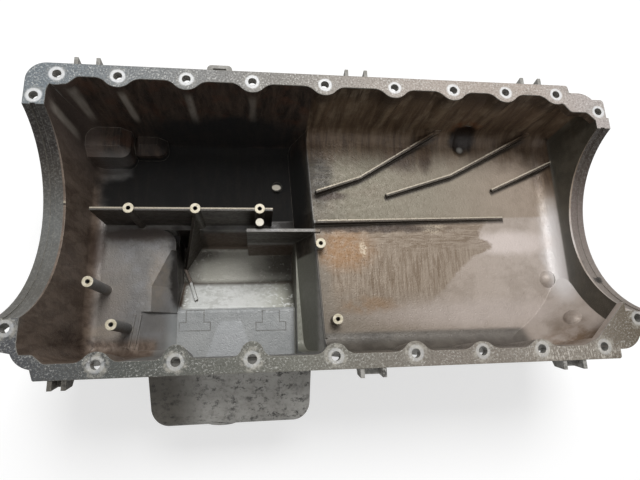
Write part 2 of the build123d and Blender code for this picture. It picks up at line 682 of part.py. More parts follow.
# ---------------------------------------------------------------- the casting
def oil_pan():
    shell = outside()
    body = shell
    for piece in brackets():
        body += piece
    body += cable_loop()
    port = port_plane()
    boss = Pos(0, 0, -PORT_BOSS_DEPTH / 2) * Cylinder(PORT_FACE_R, PORT_BOSS_DEPTH)
    body += port * boss
    body -= inside()
    details = Part() + tray_ribs() + sump_ribs() + small_forms()
    details += [post(x, y, floor_z) for x, y, floor_z in posts()]
    body += details & shell
    # machined and drilled features
    cut_in = EPS + (SADDLE_R - SADDLE_Z) * math.tan(math.radians(DRAFT)) + WALL
    left = (LEFT_END_X - EPS, LEFT_INNER_X + cut_in, LEFT_SADDLE_Y, LEFT_END_X + SEAL_GROOVE_INSET)
    right = (RIGHT_INNER_X - cut_in, RIGHT_END_X + EPS, RIGHT_SADDLE_Y, RIGHT_END_X - SEAL_GROOVE_INSET)
    half = SEAL_GROOVE_WIDTH / 2
    for x0, x1, y, groove_x in (left, right):
        body -= rod_x(SADDLE_R, x0, x1, y, SADDLE_Z)
        body -= rod_x(SADDLE_R + SEAL_GROOVE_DEPTH, groove_x - half, groove_x + half, y, SADDLE_Z)
    for x, side, reach in rail_bolts():
        body -= Pos(x, side * BOLT_LINE_Y, -FLANGE_THICK) * Cylinder(BOLT_HOLE_R, 2 * FLANGE_THICK + EPS)
        body -= bolt_pocket(x, side, reach)
    for x, y in end_bolts():
        body -= Pos(x, y, -FLANGE_THICK) * Cylinder(BOLT_HOLE_R, 4 * FLANGE_THICK)
    for x, y, floor_z in posts():
        body -= Pos(x, y, POST_TOP_Z - POST_HOLE_DEPTH / 2) * Cylinder(POST_HOLE_R, POST_HOLE_DEPTH)
    body -= port * Cylinder(PORT_R, 2 * PORT_BORE_DEPTH)
    return body


os.makedirs("parts", exist_ok=True)
pan = oil_pan()
pan.label = "oil_pan"
export_step(pan, "parts/oil_pan.step")
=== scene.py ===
import bpy
import math
from mathutils import Matrix, Vector


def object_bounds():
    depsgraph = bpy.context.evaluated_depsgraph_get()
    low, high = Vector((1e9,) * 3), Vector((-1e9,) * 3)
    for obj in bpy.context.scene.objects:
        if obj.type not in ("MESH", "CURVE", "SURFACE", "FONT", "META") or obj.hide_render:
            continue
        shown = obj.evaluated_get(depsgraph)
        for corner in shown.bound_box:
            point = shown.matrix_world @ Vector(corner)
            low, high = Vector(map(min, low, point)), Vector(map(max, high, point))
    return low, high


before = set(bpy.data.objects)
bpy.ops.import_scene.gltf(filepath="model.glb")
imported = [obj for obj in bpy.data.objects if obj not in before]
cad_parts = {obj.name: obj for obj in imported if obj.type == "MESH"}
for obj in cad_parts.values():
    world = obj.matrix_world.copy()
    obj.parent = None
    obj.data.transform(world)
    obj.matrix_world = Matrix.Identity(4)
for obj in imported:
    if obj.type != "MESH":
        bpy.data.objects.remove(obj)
CAD_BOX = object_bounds()
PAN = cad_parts["oil_pan"]

# ------------------------------------------------------------------ camera
# focal length in mm, and pose in metres, that put the bolt holes where the photograph has them
CAM_LENS = 26.32
CAM_SENSOR = 36.0
CAM_CLIP = (0.01, 50.0)
CAM_AT = Vector((-0.07507, -0.14456, 0.45852))
CAM_RIGHT = Vector((0.99113, -0.03413, 0.12847))
CAM_UP = Vector((0.00229, 0.97071, 0.24023))
CAM_BACK = Vector((-0.13291, -0.2378, 0.96218))


def make_camera():
    data = bpy.data.cameras.new("camera")
    data.sensor_fit = "HORIZONTAL"
    data.sensor_width = CAM_SENSOR
    data.lens = CAM_LENS
    data.clip_start, data.clip_end = CAM_CLIP
    cam = bpy.data.objects.new("camera", data)
    bpy.context.scene.collection.objects.link(cam)
    rows = Matrix((CAM_RIGHT, CAM_UP, CAM_BACK)).transposed()
    turn = rows.to_quaternion().normalized()
    cam.matrix_world = Matrix.Translation(CAM_AT) @ turn.to_matrix().to_4x4()
    bpy.context.scene.camera = cam


# ------------------------------------------------------------------ node helpers
MM_PER_M = 1000


def srgb(r, g, b):
    """A colour given as 0..255 display values, as linear RGBA."""
    out = []
    for v in (r, g, b):
        v = v / 255
        out.append(v / 12.92 if v <= 0.04045 else ((v + 0.055) / 1.055) ** 2.4)
    return (*out, 1.0)


class Graph:
    """Short calls for building one material's nodes. All lengths are in mm."""

    def __init__(self, name):
        self.mat = bpy.data.materials.new(name)
        self.mat.use_nodes = True
        self.tree = self.mat.node_tree
        self.tree.nodes.clear()
        self.out = self.new("ShaderNodeOutputMaterial")
        coord = self.new("ShaderNodeTexCoord").outputs["Object"]
        self.pos = self.vec("MULTIPLY", coord, (MM_PER_M, MM_PER_M, MM_PER_M))
        split = self.new("ShaderNodeSeparateXYZ")
        self.link(self.pos, split.inputs[0])
        self.x, self.y, self.z = split.outputs
        geo = self.new("ShaderNodeNewGeometry")
        split = self.new("ShaderNodeSeparateXYZ")
        self.link(geo.outputs["True Normal"], split.inputs[0])
        self.nx, self.ny, self.nz = split.outputs

    def new(self, kind):
        return self.tree.nodes.new(kind)

    def link(self, source, target):
        if isinstance(source, bpy.types.NodeSocket):
            self.tree.links.new(source, target)
        else:
            target.default_value = source

    def math(self, op, a, b=0.0, clamp=False):
        node = self.new("ShaderNodeMath")
        node.operation = op
        node.use_clamp = clamp
        self.link(a, node.inputs[0])
        self.link(b, node.inputs[1])
        return node.outputs[0]

    def vec(self, op, a, b=(0, 0, 0)):
        node = self.new("ShaderNodeVectorMath")
        node.operation = op
        self.link(a, node.inputs[0])
        self.link(b, node.inputs[1])
        return node.outputs["Value" if op in ("LENGTH", "DOT_PRODUCT") else "Vector"]

    def ramp(self, value, start, end, low=0.0, high=1.0):
        """Smooth step from low at start to high at end."""
        node = self.new("ShaderNodeMapRange")
        node.interpolation_type = "SMOOTHSTEP"
        self.link(value, node.inputs["Value"])
        limits = {"From Min": start, "From Max": end, "To Min": low, "To Max": high}
        for key, number in limits.items():
            node.inputs[key].default_value = number
        return node.outputs["Result"]

    def noise(
        self, size, detail=4.0, rough=0.55, stretch=None, at=None, colour=False, twist=0.0,
    ):
        """Noise whose features are about size mm across."""
        vector = self.pos if at is None else at
        if stretch is not None:
            vector = self.vec("MULTIPLY", vector, stretch)
        node = self.new("ShaderNodeTexNoise")
        self.link(vector, node.inputs["Vector"])
        node.inputs["Scale"].default_value = 1.0 / size
        node.inputs["Detail"].default_value = detail
        node.inputs["Roughness"].default_value = rough
        node.inputs["Distortion"].default_value = twist
        return node.outputs["Color" if colour else "Fac"]

    def cells(self, size):
        """The distance to the nearest of scattered points about size mm apart."""
        node = self.new("ShaderNodeTexVoronoi")
        self.link(self.pos, node.inputs["Vector"])
        node.inputs["Scale"].default_value = 1.0 / size
        return node.outputs["Distance"]

    def shift(self, size, amount, seed=(0, 0, 0)):
        """The position, pushed about by noise: gives masks ragged edges."""
        at = self.vec("ADD", self.pos, seed)
        noise = self.noise(size, at=at, colour=True)
        centred = self.vec("SUBTRACT", noise, (0.5, 0.5, 0.5))
        moved = self.vec("MULTIPLY", centred, (2 * amount, 2 * amount, 2 * amount))
        return self.vec("ADD", self.pos, moved)

    def blob(self, centre, radii, soft, at=None):
        """1 inside an ellipsoid, fading to 0 outside it."""
        vector = self.pos if at is None else at
        local = self.vec("DIVIDE", self.vec("SUBTRACT", vector, centre), radii)
        return self.ramp(self.vec("LENGTH", local), 1 - soft, 1 + soft, 1.0, 0.0)

    def blobs(self, spots, at):
        """A blob for each centre, radii and softness in a list."""
        return [self.blob(centre, radii, soft, at) for centre, radii, soft in spots]

    def union(self, *masks):
        """1 where any of the masks is."""
        total = masks[0]
        for mask in masks[1:]:
            total = self.math("MAXIMUM", total, mask)
        return total

    def both(self, *masks):
        """1 where all the masks are."""
        total = masks[0]
        for mask in masks[1:]:
            total = self.math("MULTIPLY", total, mask)
        return total

    def mix(self, mask, a, b):
        """Colour a where the mask is 0, colour b where it is 1."""
        node = self.new("ShaderNodeMix")
        node.data_type = "RGBA"
        self.link(mask, node.inputs["Factor"])
        self.link(a, node.inputs[6])
        self.link(b, node.inputs[7])
        return node.outputs[2]

    def tint(self, mask, strength, base, colour):
        """The base colour, with the other colour over it where the mask is."""
        return self.mix(self.math("MULTIPLY", mask, strength), base, colour)

    def grade(self, value, stops):
        """A colour that changes along a value; stops are (value, (r, g, b))."""
        low, high = stops[0][0], stops[-1][0]
        node = self.new("ShaderNodeValToRGB")
        elements = node.color_ramp.elements
        while len(elements) < len(stops):
            elements.new(0.5)
        for element, (at, rgb) in zip(elements, stops):
            element.position = (at - low) / (high - low)
            element.color = srgb(*rgb)
        share = self.math("DIVIDE", self.math("SUBTRACT", value, low), high - low)
        self.link(share, node.inputs[0])
        return node.outputs[0]

    def grade_value(self, value, stops):
        """A number that changes along a value; stops are (value, number)."""
        low, high = stops[0][0], stops[-1][0]
        least = min(number for _, number in stops)
        most = max(number for _, number in stops)
        node = self.new("ShaderNodeFloatCurve")
        points = node.mapping.curves[0].points
        while len(points) < len(stops):
            points.new(0.5, 0.5)
        for point, (at, number) in zip(points, stops):
            point.location = ((at - low) / (high - low), (number - least) / (most - least))
        node.mapping.update()
        share = self.math("DIVIDE", self.math("SUBTRACT", value, low), high - low, clamp=True)
        self.link(share, node.inputs["Value"])
        return self.math("ADD", self.math("MULTIPLY", node.outputs[0], most - least), least)

    def wander(self, value, noise, width):
        """The value, moved up and down over a range by a noise."""
        moved = self.math("MULTIPLY", self.math("SUBTRACT", noise, 0.5), width)
        return self.math("ADD", value, moved)

    def nearest(self, centres):
        """The distance in plan to the nearest of some centres."""
        least = None
        for x, y in centres:
            flat = self.vec("MULTIPLY", self.vec("SUBTRACT", self.pos, (x, y, 0)), (1, 1, 0))
            away = self.vec("LENGTH", flat)
            least = away if least is None else self.math("MINIMUM", least, away)
        return least

    def lerp(self, mask, a, b):
        """Number a where the mask is 0, number b where it is 1."""
        node = self.new("ShaderNodeMix")
        node.data_type = "FLOAT"
        self.link(mask, node.inputs[0])
        self.link(a, node.inputs[2])
        self.link(b, node.inputs[3])
        return node.outputs[0]

    def bump(self, height, depth, normal, strength=1.0):
        """The normal, bent by a height whose range from 0 to 1 is depth mm."""
        node = self.new("ShaderNodeBump")
        self.link(strength, node.inputs["Strength"])
        node.inputs["Distance"].default_value = depth / MM_PER_M
        self.link(height, node.inputs["Height"])
        self.link(normal, node.inputs["Normal"])
        return node.outputs[0]

    def finish(self, colour, rough, metal, normal):
        node = self.new("ShaderNodeBsdfPrincipled")
        self.link(colour, node.inputs["Base Color"])
        self.link(rough, node.inputs["Roughness"])
        self.link(metal, node.inputs["Metallic"])
        node.inputs["Specular IOR Level"].default_value = SPECULAR
        self.link(normal, node.inputs["Normal"])
        self.link(node.outputs[0], self.out.inputs["Surface"])
        return self.mat


class Noises:
    """The noise patterns that several parts of the material share, from coarse to fine."""

    def __init__(self, g):
        self.ragged = g.shift(45, amount=24)
        self.frayed = g.shift(14, amount=7, seed=(31, 7, 3))
        self.cloud = g.noise(70, detail=5, rough=0.6)
        self.patch = g.noise(22, detail=5, rough=0.6, at=g.vec("ADD", g.pos, (9, 80, 4)))
        self.fine = g.noise(6, detail=6, rough=0.65)
        self.grain = g.noise(2.2, detail=4, rough=0.7)


# ------------------------------------------------------------------ where things are, in mm
UPPER_HOLES = [(x, 146.5) for x in (-280, -220, -150, -80, 0, 80, 150, 214, 278)]
LOWER_HOLES = [(x, -146.5) for x in (-220, -150, -80, 0, 80, 150, 214, 284)]
END_HOLES = [(-300, 121), (-300, -112), (329, 126), (329, -118)]
POSTS = [(-224, 29), (-148, 29), (-72, 29), (-262, -57), (-234, -105), (1, -14), (18, -105)]
# the ridges below the upper bolts; the first stands 9 mm in from its bolt
RIDGES_X = [-271] + [x for x, _ in UPPER_HOLES[1:]]
END_RIDGE_Y = 119
# plan runs of the ribs on the tray's floor
TRAY_RIBS = [
    ((-2, 54), (56, 75)), ((56, 75), (168, 142)), ((90, 52), (179, 80)), ((179, 80), (296, 141)),
    ((236, 61), (322, 99)), ((-6, 15), (247, 23)),
]
# the T marks on the kick-out's floor: their centres, and each stroke's offset in y and half size
CAST_MARKS = [(-157, -90), (-57, -92)]
MARK_STROKES = [(-2, (11.5, 10.5, 0)), (-13, (20.0, 5.5, 0))]
CRANK_LINE = (0, 0.5, 43)
SEAT_RADIUS = 121.5
WALL_DRAFT = 0.0349     # tangent of the walls' draft
LEDGE_SLOPE = 0.62      # rise in z over y of the kick-out's ledge
LIP_SLANT = 0.0612      # drift in x over y of the tray's lip, above the sump
RIB_SLANT = 0.0316      # rise in y over x of the long rib, and of the tone that changes at it

# stains with frayed edges, with painted shade and a painted highlight among them: centre, radii,
# softness
SPLASHES = [((150, 10, -103), (15, 6, 6), 0.5), ((57, -17, -103), (4, 10, 6), 0.5)]
# dark oil, with painted shadow below the long rib and the first rib
RIB_OIL_AND_SHADOW = [
    ((118, 108, -103), (22, 20, 16), 0.5),
    ((147, 118, -98), (12, 30, 30), 0.4),
    ((70, 9, -103), (90, 5, 8), 0.5),
    ((16, 52, -103), (22, 5, 8), 0.5),
]
# painted shade along the foot of the spine and of the left wall
SHELF_RIM_SHADE = [((-235, 14, -155), (60, 9, 8), 0.5), ((-276, 0, -150), (10, 30, 14), 0.5)]
# rusty patches, partly a painted highlight on the chute's slope
SHELF_RUST_AND_HIGHLIGHT = [((-200, -44, -158), (12, 34, 18), 0.5), ((-262, -108, -155), (30, 8, 8), 0.6)]
# dirt, and painted shade under the fin and along the foot of the trough's back wall
TROUGH_GRIME_AND_SHADE = [
    ((-158, 6, -230), (26, 12, 6), 0.6),
    ((-40, -8, -230), (22, 22, 6), 0.6),
    ((-100, 16, -230), (70, 5, 6), 0.6),
]
# painted shade in the narrow space between the web and the trough's left wall
TROUGH_GAP_SHADE = [((-178, 2, -180), (12, 30, 40), 0.3), ((-181, -40, -178), (7, 42, 30), 0.35)]
# the same with ragged edges, in the sump's upper corner
# dark old oil, partly painted shadow of the upper wall
OLD_OIL_AND_SHADOW = [
    ((-120, 150, -120), (110, 60, 50), 0.3),
    ((-120, 88, -158), (96, 62, 22), 0.25),
    ((-232, 66, -158), (60, 34, 22), 0.35),
    ((-20, 80, -140), (26, 70, 40), 0.35),
]
DRIED_X = -111          # middle of the dried patch on the kick-out's floor
DRIED_TAPER = 0.37      # and how its half width shrinks over y
# the tray's pale bands, the second a painted highlight along a crease: centre, radii, softness,
# strength, colour
PALE_BANDS_AND_HIGHLIGHT = [
    ((318, -25, -94), (20, 66, 22), 0.4, 0.95, (216, 211, 209)),
    ((255, -10, -103), (52, 15, 12), 0.5, 0.85, (206, 194, 188)),
    ((210, -100, -100), (130, 16, 14), 0.6, 0.4, (190, 178, 172)),
]
# right edge of the tray's scrubbed patch: x for each y
SCRUB_EDGE = [(-120, 105), (-71, 156), (-29, 200), (-13, 228), (-2, 214), (24, 240)]

# ------------------------------------------------------------------ colours along a line
# along x: the tray's floor below and above the long rib, the trough's floor with painted shade at
# its ends, and the slope, painted near white: mostly painted light, partly its paler finish
TRAY_BELOW = [
    (10, (112, 103, 91)), (90, (128, 116, 103)), (180, (162, 149, 138)), (300, (178, 166, 157)),
]
TRAY_ABOVE = [
    (-4, (92, 86, 74)), (40, (112, 106, 90)), (150, (130, 122, 107)), (290, (158, 143, 129)),
]
# darker at both ends: painted shade by the web and under the fin
TROUGH_FLOOR = [
    (-180, (60, 54, 46)), (-150, (166, 164, 154)), (-90, (172, 170, 161)), (-50, (104, 103, 94)),
    (-24, (78, 76, 68)),
]
# near white where the slope faces the lamp, mostly painted light and partly its paler finish;
# darker at both ends in painted shade
SLOPE_LIT_AND_SHADED = [
    (-180, (130, 122, 108)), (-164, (236, 238, 234)), (-110, (250, 251, 248)),
    (-70, (238, 239, 233)), (-44, (206, 206, 194)), (-26, (120, 118, 106)),
]
# along x: the gasket face's upper and lower runs, darker to the left, partly a painted fall-off of
# the light
FACE_UPPER = [
    (-290, (106, 114, 120)), (-44, (124, 120, 115)), (116, (160, 150, 142)),
    (245, (166, 154, 145)), (320, (172, 163, 159)),
]
FACE_LOWER = [
    (-290, (64, 66, 70)), (-181, (72, 74, 70)), (-35, (102, 101, 93)), (115, (120, 112, 103)),
    (250, (128, 120, 110)), (320, (94, 84, 70)),
]
# along y: the seats of the crank seals, darker at the top end in painted shade
LEFT_SEAT = [
    (-110, (100, 98, 93)), (-60, (92, 91, 87)), (10, (95, 96, 94)), (60, (60, 56, 51)),
    (85, (38, 33, 30)), (110, (34, 30, 26)),
]
RIGHT_SEAT = [
    (-115, (120, 110, 102)), (-70, (130, 121, 114)), (25, (110, 99, 94)), (60, (74, 64, 58)),
    (85, (54, 45, 39)), (110, (50, 42, 36)),
]
# along z: the tray's far wall, the trough's left wall, the sump's right wall
FAR_WALL = [
    (-99, (176, 171, 166)), (-92, (120, 116, 110)), (-84, (82, 82, 75)), (-40, (72, 69, 60)),
]
TROUGH_WALL = [(-230, (96, 84, 74)), (-180, (70, 56, 47))]
SUMP_WALL = [(-230, (96, 90, 82)), (-160, (118, 118, 108)), (-104, (108, 107, 99))]

# ------------------------------------------------------------------ relief and gloss
GRAIN_DEPTH, CAST_DEPTH, PIT_DEPTH = 0.35, 0.9, -0.25   # mm
PIT_SPACING = 3.2       # mm
WET_RELIEF = 0.35       # share of the cast relief that shows inside
EDGE_RADIUS = 0.0012    # m
EDGE_SAMPLES = 6
METAL, METAL_FACE = 0.12, 0.2
SPECULAR = 0.3
OLD_OIL_ROUGH = 0.9


def inside_mask(g):
    """1 on the surfaces that hold oil, 0 outside; the limits run through the middle of walls."""
    drop = g.math("MULTIPLY", g.z, WALL_DRAFT)
    reach = g.math("ABSOLUTE", g.y)
    between = g.both(
        g.ramp(g.math("SUBTRACT", reach, drop), 147.5, 146.5),
        g.ramp(g.math("ADD", g.x, drop), -292.5, -291.5),
        g.ramp(g.math("SUBTRACT", g.x, drop), 327.5, 326.5),
    )
    # faces that lie within those limits but look outwards
    bolt_pockets = g.both(
        g.ramp(reach, 138.0, 139.0),
        g.ramp(g.math("MULTIPLY", g.ny, g.math("SIGN", g.y)), 0.1, 0.3),
    )
    left_end = g.both(g.ramp(g.x, -270, -272), g.ramp(g.nx, -0.1, -0.3))
    right_end = g.both(g.ramp(g.x, 306, 308), g.ramp(g.nx, 0.1, 0.3))
    trough_back = g.both(g.ramp(g.z, -158, -160), g.ramp(g.y, 11, 12), g.ramp(g.ny, 0.7, 0.85))
    corner_back = g.both(
        g.ramp(g.z, -98, -100), g.ramp(g.y, 98, 100), g.ramp(g.x, -188, -190),
        g.union(
            g.ramp(g.ny, 0.2, 0.4),
            g.both(g.ramp(g.x, -236.5, -237), g.ramp(g.nx, -0.3, -0.5)),
        ),
    )
    outward = g.union(bolt_pockets, left_end, right_end, trough_back, corner_back)
    not_below = g.ramp(g.nz, -0.3, -0.2)
    # the hollows, down to the middle of each floor
    tray = g.ramp(g.z, -106.0, -105.0)
    shelf = g.both(g.ramp(g.x, 1.0, -4.0), g.ramp(g.z, -158.0, -157.0))
    trough = g.both(
        g.ramp(g.x, -183.0, -182.0), g.ramp(g.x, -21.0, -22.0),
        g.ramp(g.y, 24.0, 23.0), g.ramp(g.z, -233.0, -232.0),
    )
    chute = g.both(
        g.ramp(g.nz, 0.2, 0.4), g.ramp(g.x, -224, -222), g.ramp(g.x, -170, -176),
        g.ramp(g.z, -187.5, -186.5),
    )
    hollows = g.union(tray, shelf, trough, chute)
    tub = g.both(between, hollows, not_below, g.math("SUBTRACT", 1.0, outward))
    under_ledge = g.math("SUBTRACT", g.z, g.math("MULTIPLY", g.y, LEDGE_SLOPE))
    kick_out = g.both(
        g.ramp(g.y, -212.0, -211.0), g.ramp(g.y, -78.0, -80.0), g.ramp(g.z, -188.0, -187.0),
        g.ramp(g.x, -183.0, -182.0), g.ramp(g.x, -21.0, -22.0), g.ramp(under_ledge, 40.5, 38.5),
        g.union(g.ramp(g.y, -195, -190), g.ramp(g.ny, -0.3, -0.1)),
    )
    return g.both(g.union(tub, kick_out), g.ramp(g.z, -0.9, -1.4))


def bolt_ridges(g):
    """1 on the crests of the ridges that run down the walls below the bolts, where a highlight is
    painted.
    """
    least = None
    for x in RIDGES_X:
        away = g.math("ABSOLUTE", g.math("SUBTRACT", g.x, x))
        least = away if least is None else g.math("MINIMUM", least, away)
    back = g.both(g.ramp(least, 6.0, 1.5), g.ramp(g.y, 128, 132))
    from_end = g.math("ABSOLUTE", g.math("SUBTRACT", g.y, END_RIDGE_Y))
    end = g.both(g.ramp(from_end, 8.0, 2.0), g.ramp(g.x, -280, -284))
    return g.both(g.union(back, end), g.ramp(g.z, -6, -24), g.ramp(g.z, -98, -70))


def beside_ribs(g):
    """Masks for the tray's ribs: the lit upper half of their tops, and the shadow below them."""
    lit = shade = None
    for (ax, ay), (bx, by) in TRAY_RIBS:
        run = math.hypot(bx - ax, by - ay)
        local = g.vec("SUBTRACT", g.pos, (ax, ay, 0))
        along = g.vec("DOT_PRODUCT", local, ((bx - ax) / run, (by - ay) / run, 0))
        away = g.vec("DOT_PRODUCT", local, ((ay - by) / run, (bx - ax) / run, 0))
        on = g.both(g.ramp(along, -2.5, -1.5), g.ramp(along, run + 2.5, run + 1.5))
        upper = g.both(on, g.ramp(away, 0.1, 0.7), g.ramp(away, 2.6, 2.2))
        below = g.both(on, g.ramp(away, -8.5, -3.5), g.ramp(away, 0.6, 0.0))
        lit = upper if lit is None else g.union(lit, upper)
        shade = below if shade is None else g.union(shade, below)
    return lit, shade


def bare_casting(g, n):
    """The dull outside: grey metal with dark mottled stains, heaviest on the kick-out."""
    colour = g.mix(g.ramp(n.cloud, 0.3, 0.7), srgb(142, 140, 135), srgb(168, 166, 161))
    colour = g.tint(g.ramp(n.fine, 0.45, 0.8), 0.45, colour, srgb(96, 92, 84))
    dim_corner = g.both(g.ramp(g.x, -125, -165), g.ramp(g.y, -150, -160))
    colour = g.tint(dim_corner, 0.9, colour, srgb(74, 70, 63))
    shade = g.noise(9, detail=7, rough=0.78, at=g.vec("ADD", g.pos, (3, 3, 77)))
    mottle = g.both(g.ramp(shade, 0.5, 0.6), g.ramp(n.patch, 0.36, 0.58))
    mottle = g.both(mottle, g.ramp(g.y, -148, -156, 0.4, 1.0))
    colour = g.tint(mottle, 0.85, colour, srgb(34, 32, 30))
    light = g.both(g.ramp(n.grain, 0.6, 0.8), g.ramp(shade, 0.5, 0.4))
    return g.tint(light, 0.3, colour, srgb(190, 188, 182))


def tray_floor(g, n):
    """The floor: warmer to the right, with pale bands, the second a painted highlight, a scrubbed
    brown patch, and dark oil with painted shadow beside the ribs.
    """
    rib = g.math("SUBTRACT", g.y, g.math("MULTIPLY", g.x, RIB_SLANT))
    below = g.grade(g.x, TRAY_BELOW)
    above = g.grade(g.x, TRAY_ABOVE)
    colour = g.mix(g.ramp(rib, 14, 18), below, above)
    colour = g.tint(g.ramp(n.patch, 0.4, 0.7), 0.35, colour, srgb(120, 108, 94))
    # pale bands; the second is a painted highlight along a crease
    for centre, radii, soft, strength, pale in PALE_BANDS_AND_HIGHLIGHT:
        colour = g.tint(g.blob(centre, radii, soft, n.frayed), strength, colour, srgb(*pale))
    # the scrubbed patch: fine strokes along y, with a sharp curved edge on its right
    edge = g.wander(g.grade_value(g.y, SCRUB_EDGE), n.fine, 14)
    scrub = g.both(
        g.ramp(g.math("SUBTRACT", g.x, edge), 4, -4), g.ramp(g.y, -100, -62),
        g.ramp(rib, 17, 14), g.ramp(g.x, 6, 24),
    )
    stroke = g.noise(3.2, detail=5, rough=0.7, stretch=(1.0, 0.1, 1.0), twist=0.4)
    sweep = g.noise(4.0, detail=5, rough=0.7, stretch=(0.16, 1.0, 1.0), twist=1.2)
    stroke = g.lerp(g.ramp(g.y, -30, -5), stroke, sweep)
    brown = g.mix(g.ramp(stroke, 0.36, 0.62), srgb(104, 86, 66), srgb(142, 128, 112))
    colour = g.tint(scrub, 0.82, colour, brown)
    glow = g.blob((32, -18, -103), (34, 24, 12), 0.6, n.frayed)
    glow = g.both(glow, g.ramp(n.fine, 0.28, 0.6, 0.4, 1.0))
    colour = g.tint(glow, 0.6, colour, srgb(150, 108, 62))
    glow = g.blob((60, -88, -103), (34, 9, 12), 0.6, n.frayed)
    glow = g.both(glow, g.ramp(n.patch, 0.3, 0.6))
    colour = g.tint(glow, 0.6, colour, srgb(122, 92, 58))
    splash = g.union(*g.blobs(SPLASHES, n.frayed))
    splash = g.both(splash, g.ramp(n.grain, 0.35, 0.6))
    colour = g.tint(splash, 0.8, colour, srgb(206, 192, 170))
    # dark oil near the sump's lip, and dark oil with painted shadow beside the ribs
    lip = g.blob((3, 88, -103), (18, 48, 14), 0.35, n.frayed)
    lip = g.both(lip, g.ramp(stroke, 0.3, 0.65, 1.0, 0.5))
    colour = g.tint(lip, 0.92, colour, srgb(36, 31, 26))
    return g.tint(g.union(*g.blobs(RIB_OIL_AND_SHADOW, n.frayed)), 0.88, colour, srgb(54, 40, 30))


def tray_wall(g, n, colour):
    """Brown film that runs down the upper wall and creeps over the floor, partly painted shadow of
    that wall; painted highlights on the bolt ridges and painted shade under the face; a stain round
    the recess at the wall's foot, with painted shade in it.
    """
    # brown oil film, partly painted shadow of the upper wall
    line = g.wander(g.y, n.patch, 40)
    film = g.union(g.ramp(line, 86, 128), g.both(g.ramp(g.x, 292, 312), g.ramp(g.y, 40, 80)))
    runs = g.noise(7, detail=5, rough=0.7, stretch=(1.0, 0.12, 0.12), twist=0.3)
    oil = g.mix(g.ramp(runs, 0.3, 0.7), srgb(70, 53, 40), srgb(116, 97, 78))
    colour = g.tint(film, 0.92, colour, oil)
    # painted highlight on the bolt ridges
    ridge_highlight = g.both(bolt_ridges(g), g.ramp(runs, 0.3, 0.6, 0.4, 1.0))
    colour = g.tint(ridge_highlight, 0.6, colour, srgb(134, 118, 98))
    # painted shade on the wall just under the gasket face
    shade_below_face = g.both(g.ramp(g.z, -34, -10), g.ramp(g.y, 100, 120))
    colour = g.tint(shade_below_face, 0.75, colour, srgb(48, 37, 30))
    clean = g.both(
        g.ramp(g.y, 90, 108), g.ramp(g.z, -100, -92), g.ramp(n.patch, 0.45, 0.65),
        g.ramp(runs, 0.4, 0.6),
    )
    colour = g.tint(clean, 0.45, colour, srgb(150, 136, 118))
    ring = g.blob((200, 140, -78), (20, 16, 16), 0.3, n.frayed)
    ring = g.both(ring, g.ramp(n.fine, 0.35, 0.6))
    colour = g.tint(ring, 0.75, colour, srgb(112, 70, 40))
    # painted shade in the recess at the wall's foot
    dent_shade = g.blob((201, 133, -95), (19, 20, 22), 0.25, n.frayed)
    return g.tint(dent_shade, 0.95, colour, srgb(20, 13, 9))


def tray_ribs(g, n, colour):
    """The tray's ribs: a painted shadow beside them, painted shade on their sides and a painted
    highlight along their tops.
    """
    on_floor = g.both(
        g.ramp(g.z, -102.6, -102.0), g.ramp(g.z, -84, -87), g.ramp(g.y, 12, 14), g.ramp(g.x, -2, 0),
    )
    lit, shadow = beside_ribs(g)
    # painted shadow on the floor below each rib
    shadow = g.both(
        shadow, g.ramp(g.z, -82, -86), g.ramp(g.y, 138, 132), g.ramp(n.fine, 0.2, 0.5, 0.6, 1.0),
    )
    colour = g.tint(shadow, 0.85, colour, srgb(44, 36, 29))
    # painted shade on the ribs' sides that face away from the lamp
    shaded_side = g.both(on_floor, g.ramp(g.nz, 0.5, 0.2), g.ramp(g.ny, 0.1, -0.2), g.ramp(g.y, 136, 132))
    colour = g.tint(shaded_side, 0.9, colour, srgb(36, 29, 24))
    # painted highlight on the lit upper half of the ribs' tops
    lit_crest = g.both(on_floor, lit, g.ramp(g.nz, 0.8, 0.9), g.ramp(g.y, 130, 118))
    lit_crest = g.both(lit_crest, g.ramp(n.fine, 0.25, 0.5))
    return g.tint(lit_crest, 0.9, colour, srgb(190, 180, 162))


def tray_ends(g, n, colour):
    """The wall at the far end, the lower wall, and the stained corner between them."""
    # dark below the seal's seat, lighter towards the floor
    far_wall = g.both(g.ramp(g.x, 319.5, 320.5), g.ramp(g.nx, -0.7, -0.9))
    far_wall_tone = g.grade(g.wander(g.z, n.patch, 10), FAR_WALL)
    far_wall_tone = g.tint(g.ramp(n.patch, 0.42, 0.62), 0.5, far_wall_tone, srgb(104, 100, 90))
    colour = g.tint(far_wall, 0.92, colour, far_wall_tone)
    low = g.both(g.ramp(g.y, -117, -123), g.ramp(g.x, 262, 250))
    grey = g.mix(g.ramp(n.patch, 0.35, 0.65), srgb(68, 65, 61), srgb(96, 92, 86))
    colour = g.tint(low, 0.85, colour, grey)
    corner = g.blob((298, -124, -68), (18, 22, 34), 0.4, n.frayed)
    corner = g.both(corner, g.ramp(n.patch, 0.3, 0.6, 0.55, 1.0))
    colour = g.tint(corner, 0.55, colour, srgb(108, 93, 78))
    drip = g.blob((300, -138, -50), (40, 14, 46), 0.5, n.frayed)
    drip = g.both(drip, g.ramp(n.patch, 0.35, 0.55))
    return g.tint(drip, 0.7, colour, srgb(108, 84, 60))


def tray_colour(g, n):
    """The tray: clean pinkish grey low down, and dark brown near the upper wall."""
    colour = tray_floor(g, n)
    colour = tray_wall(g, n, colour)
    colour = tray_ribs(g, n, colour)
    return tray_ends(g, n, colour)


